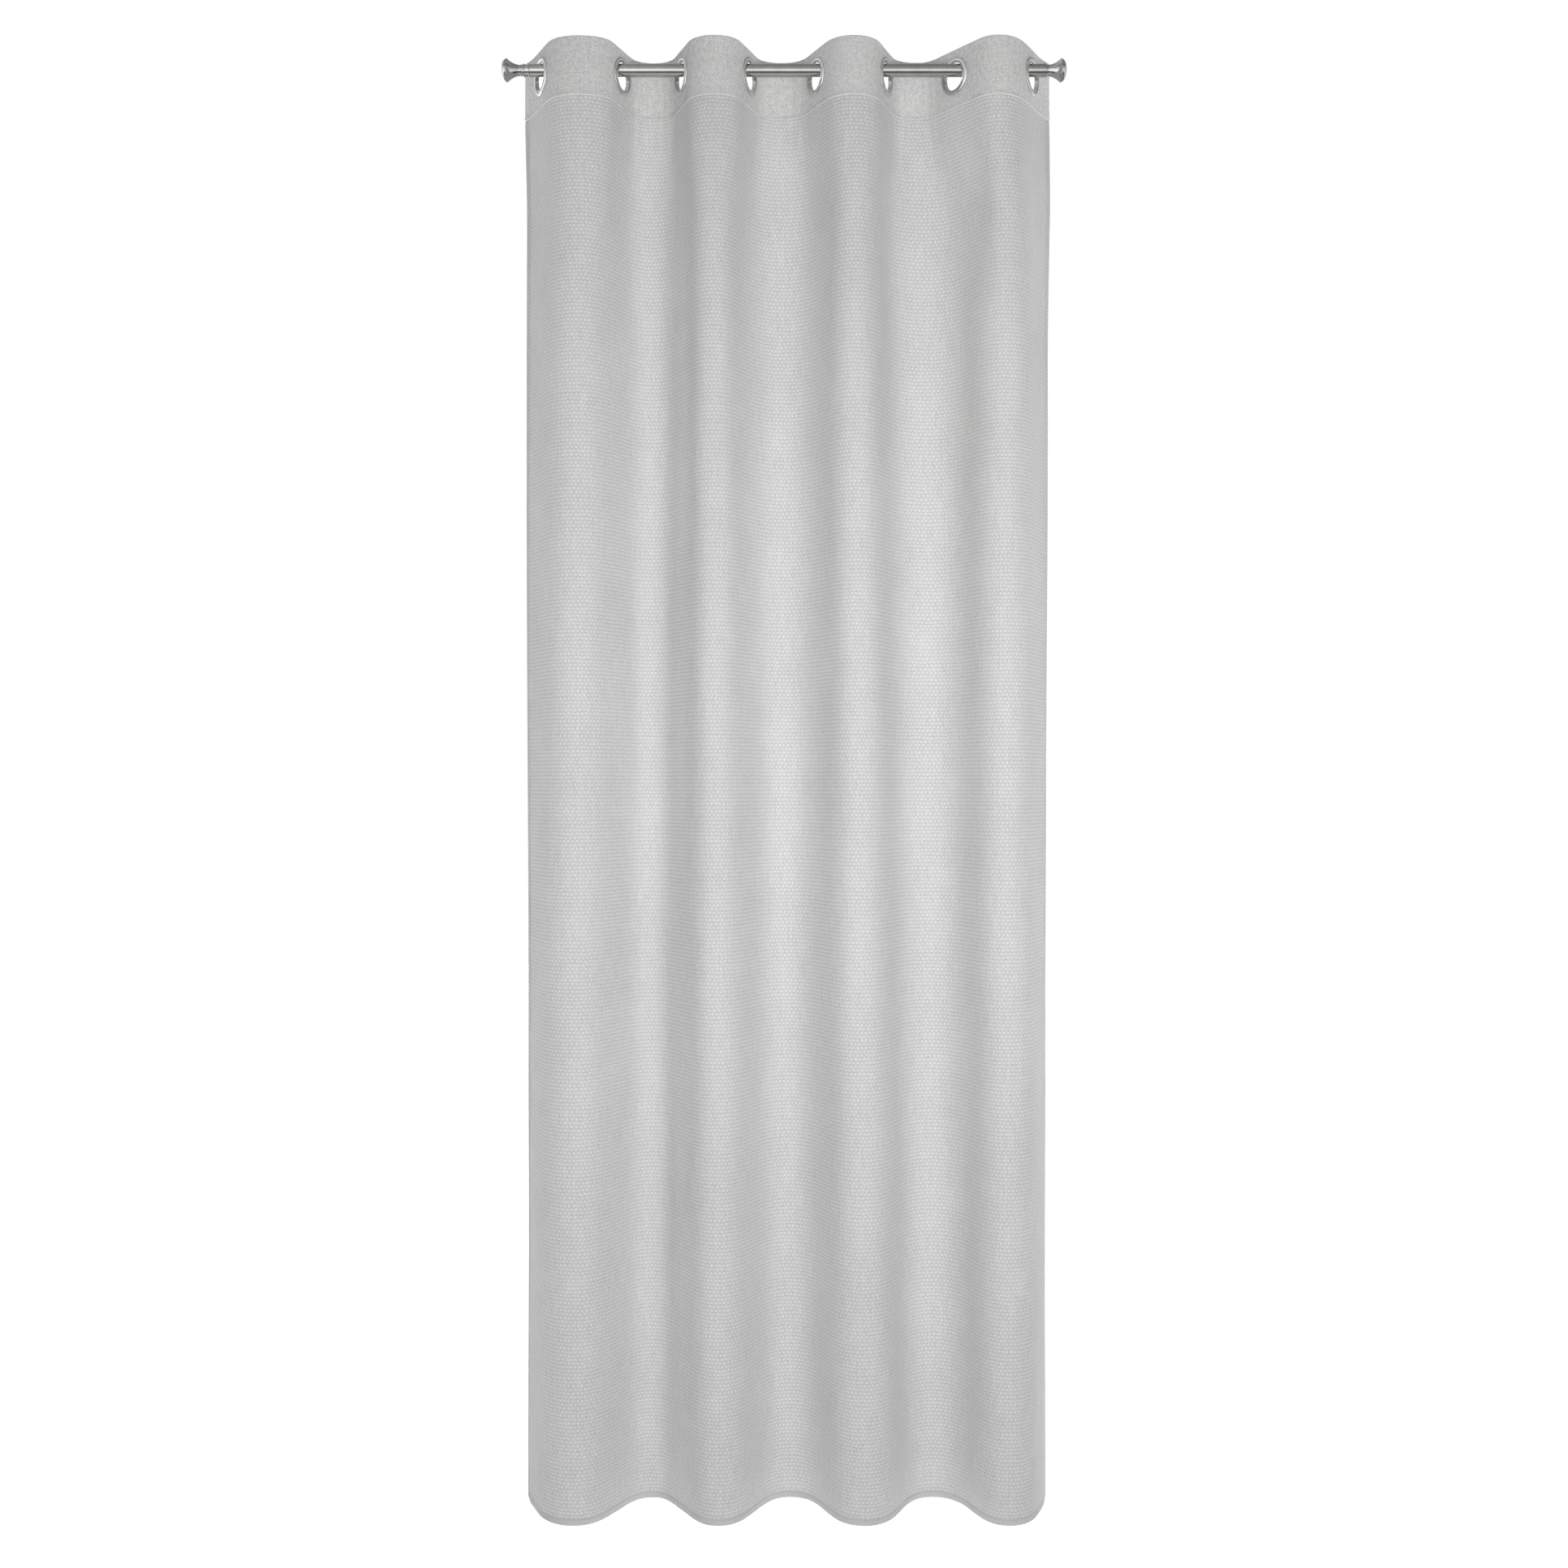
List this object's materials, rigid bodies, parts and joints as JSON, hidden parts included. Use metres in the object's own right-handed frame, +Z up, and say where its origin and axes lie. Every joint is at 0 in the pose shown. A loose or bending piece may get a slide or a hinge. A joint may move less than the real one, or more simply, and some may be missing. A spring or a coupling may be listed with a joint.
{
  "type": "eyelet curtain panel on a rod",
  "caption": "Floor-length light grey basket-weave curtain panel with a plain eyelet heading, gathered in soft folds on a brushed metal rod with trumpet finials.",
  "frame": {"origin": "on the rod's axis, midway between the rod tube's ends", "axes": "+X along the rod to the viewer's right when seen from the room, -Y out into the room, +Z up"},
  "size_m": [0.9663, 0.1273, 2.5],
  "materials": {
    "curtain_cloth": "matt basket weave",
    "heading_cloth": "matt fine plain weave",
    "stiffener_felt": "matt non-woven",
    "eyelet_nickel": "satin nickel plate",
    "brushed_rod": "brushed lengthwise",
    "finial_chrome": "bright plate",
    "plug_plastic": "moulded"
  },
  "bodies": {
    "rod": {"rod_tube": "brushed_rod"},
    "finial_left": {"finial_collar_left": "finial_chrome", "finial_trumpet_left": "finial_chrome", "finial_cap_left": "finial_chrome", "finial_plug_left": "plug_plastic"},
    "finial_right": {"finial_trumpet_right": "finial_chrome", "finial_cap_right": "finial_chrome", "finial_plug_right": "plug_plastic"},
    "leaf_1": {"cloth_panel_1": "curtain_cloth", "heading_band_1": "heading_cloth", "heading_stiffener_1": "stiffener_felt", "eyelet_face_1": "eyelet_nickel", "eyelet_back_1": "eyelet_nickel"},
    "leaf_2": {"cloth_panel_2": "curtain_cloth", "heading_band_2": "heading_cloth", "heading_stiffener_2": "stiffener_felt", "eyelet_face_2": "eyelet_nickel", "eyelet_back_2": "eyelet_nickel"},
    "leaf_3": {"cloth_panel_3": "curtain_cloth", "heading_band_3": "heading_cloth", "heading_stiffener_3": "stiffener_felt", "eyelet_face_3": "eyelet_nickel", "eyelet_back_3": "eyelet_nickel"},
    "leaf_4": {"cloth_panel_4": "curtain_cloth", "heading_band_4": "heading_cloth", "heading_stiffener_4": "stiffener_felt", "eyelet_face_4": "eyelet_nickel", "eyelet_back_4": "eyelet_nickel"},
    "leaf_5": {"cloth_panel_5": "curtain_cloth", "heading_band_5": "heading_cloth", "heading_stiffener_5": "stiffener_felt", "eyelet_face_5": "eyelet_nickel", "eyelet_back_5": "eyelet_nickel"},
    "leaf_6": {"cloth_panel_6": "curtain_cloth", "heading_band_6": "heading_cloth", "heading_stiffener_6": "stiffener_felt", "eyelet_face_6": "eyelet_nickel", "eyelet_back_6": "eyelet_nickel"},
    "leaf_7": {"cloth_panel_7": "curtain_cloth", "heading_band_7": "heading_cloth", "heading_stiffener_7": "stiffener_felt", "eyelet_face_7": "eyelet_nickel", "eyelet_back_7": "eyelet_nickel"},
    "leaf_8": {"cloth_panel_8": "curtain_cloth", "heading_band_8": "heading_cloth", "heading_stiffener_8": "stiffener_felt", "eyelet_face_8": "eyelet_nickel", "eyelet_back_8": "eyelet_nickel"}
  },
  "joints": [
    {"name": "gather", "type": "hinge", "parent": "rod", "child": "leaf_1", "pos_m": [-0.4222, 0, 0], "axis": [0, 0, -1], "range_deg": [0, 32]},
    {"name": "fold_1", "type": "hinge", "parent": "leaf_1", "child": "leaf_2", "pos_m": [-0.35315, -0.0596, 0], "axis": [0, 0, 1], "range_deg": [0, 64]},
    {"name": "fold_2", "type": "hinge", "parent": "leaf_2", "child": "leaf_3", "pos_m": [-0.23315, 0.0556, 0], "axis": [0, 0, -1], "range_deg": [0, 64]},
    {"name": "fold_3", "type": "hinge", "parent": "leaf_3", "child": "leaf_4", "pos_m": [-0.1242, -0.0626, 0], "axis": [0, 0, 1], "range_deg": [0, 64]},
    {"name": "fold_4", "type": "hinge", "parent": "leaf_4", "child": "leaf_5", "pos_m": [-0.00895, 0.0556, 0], "axis": [0, 0, -1], "range_deg": [0, 64]},
    {"name": "fold_5", "type": "hinge", "parent": "leaf_5", "child": "leaf_6", "pos_m": [0.10795, -0.0616, 0], "axis": [0, 0, 1], "range_deg": [0, 64]},
    {"name": "fold_6", "type": "hinge", "parent": "leaf_6", "child": "leaf_7", "pos_m": [0.2264, 0.0546, 0], "axis": [0, 0, -1], "range_deg": [0, 64]},
    {"name": "fold_7", "type": "hinge", "parent": "leaf_7", "child": "leaf_8", "pos_m": [0.35115, -0.0636, 0], "axis": [0, 0, 1], "range_deg": [0, 64]},
    {"name": "finial_left_pull", "type": "slide", "parent": "rod", "child": "finial_left", "axis": [-1, 0, 0], "range_m": [0, 0.045]},
    {"name": "finial_right_pull", "type": "slide", "parent": "rod", "child": "finial_right", "axis": [1, 0, 0], "range_m": [0, 0.045]}
  ],
  "couplings": [
    {"joint": "fold_1", "follows": "gather", "ratio": 2},
    {"joint": "fold_2", "follows": "gather", "ratio": 2},
    {"joint": "fold_3", "follows": "gather", "ratio": 2},
    {"joint": "fold_4", "follows": "gather", "ratio": 2},
    {"joint": "fold_5", "follows": "gather", "ratio": 2},
    {"joint": "fold_6", "follows": "gather", "ratio": 2},
    {"joint": "fold_7", "follows": "gather", "ratio": 2}
  ]
}
